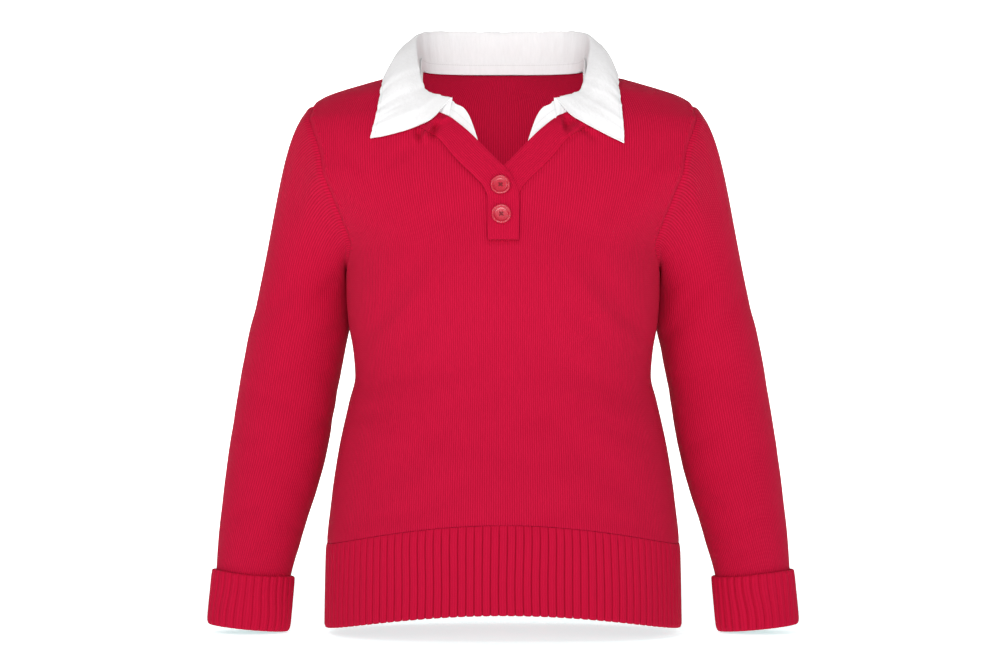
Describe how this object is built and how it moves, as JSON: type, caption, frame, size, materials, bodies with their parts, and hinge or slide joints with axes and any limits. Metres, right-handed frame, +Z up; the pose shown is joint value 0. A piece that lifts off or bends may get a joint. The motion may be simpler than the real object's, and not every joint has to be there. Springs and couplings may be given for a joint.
{
  "type": "collared sweater",
  "caption": "Hollow, filled-out knitted pullover with a woven shirt collar, short buttoned placket, deep ribbed hem and turned-back ribbed cuffs.",
  "frame": {"origin": "on the middle plane, level with the neck points, where the wearer's shoulders hold the garment up", "axes": "+Z up, front of the garment faces -Y, +X towards the wearer's left sleeve"},
  "size_m": [0.6224, 0.247, 0.6364],
  "materials": {
    "knit": "plain cotton knit, crimson",
    "rib": "ribbed cotton knit, crimson",
    "band": "close plain knit, crimson",
    "white_cotton": "crinkled white woven cotton",
    "button": "coral red moulded plastic"
  },
  "bodies": {
    "root": {"body_front": "knit", "body_back": "knit", "sleeve_left": "knit", "sleeve_right": "knit", "cuff_left": "rib", "cuff_right": "rib", "hem_rib_front": "rib", "hem_rib_back": "rib", "placket_over": "band", "placket_under": "band", "collar": "white_cotton", "neck_tape": "white_cotton", "button_top": "button", "button_bottom": "button"}
  },
  "joints": []
}
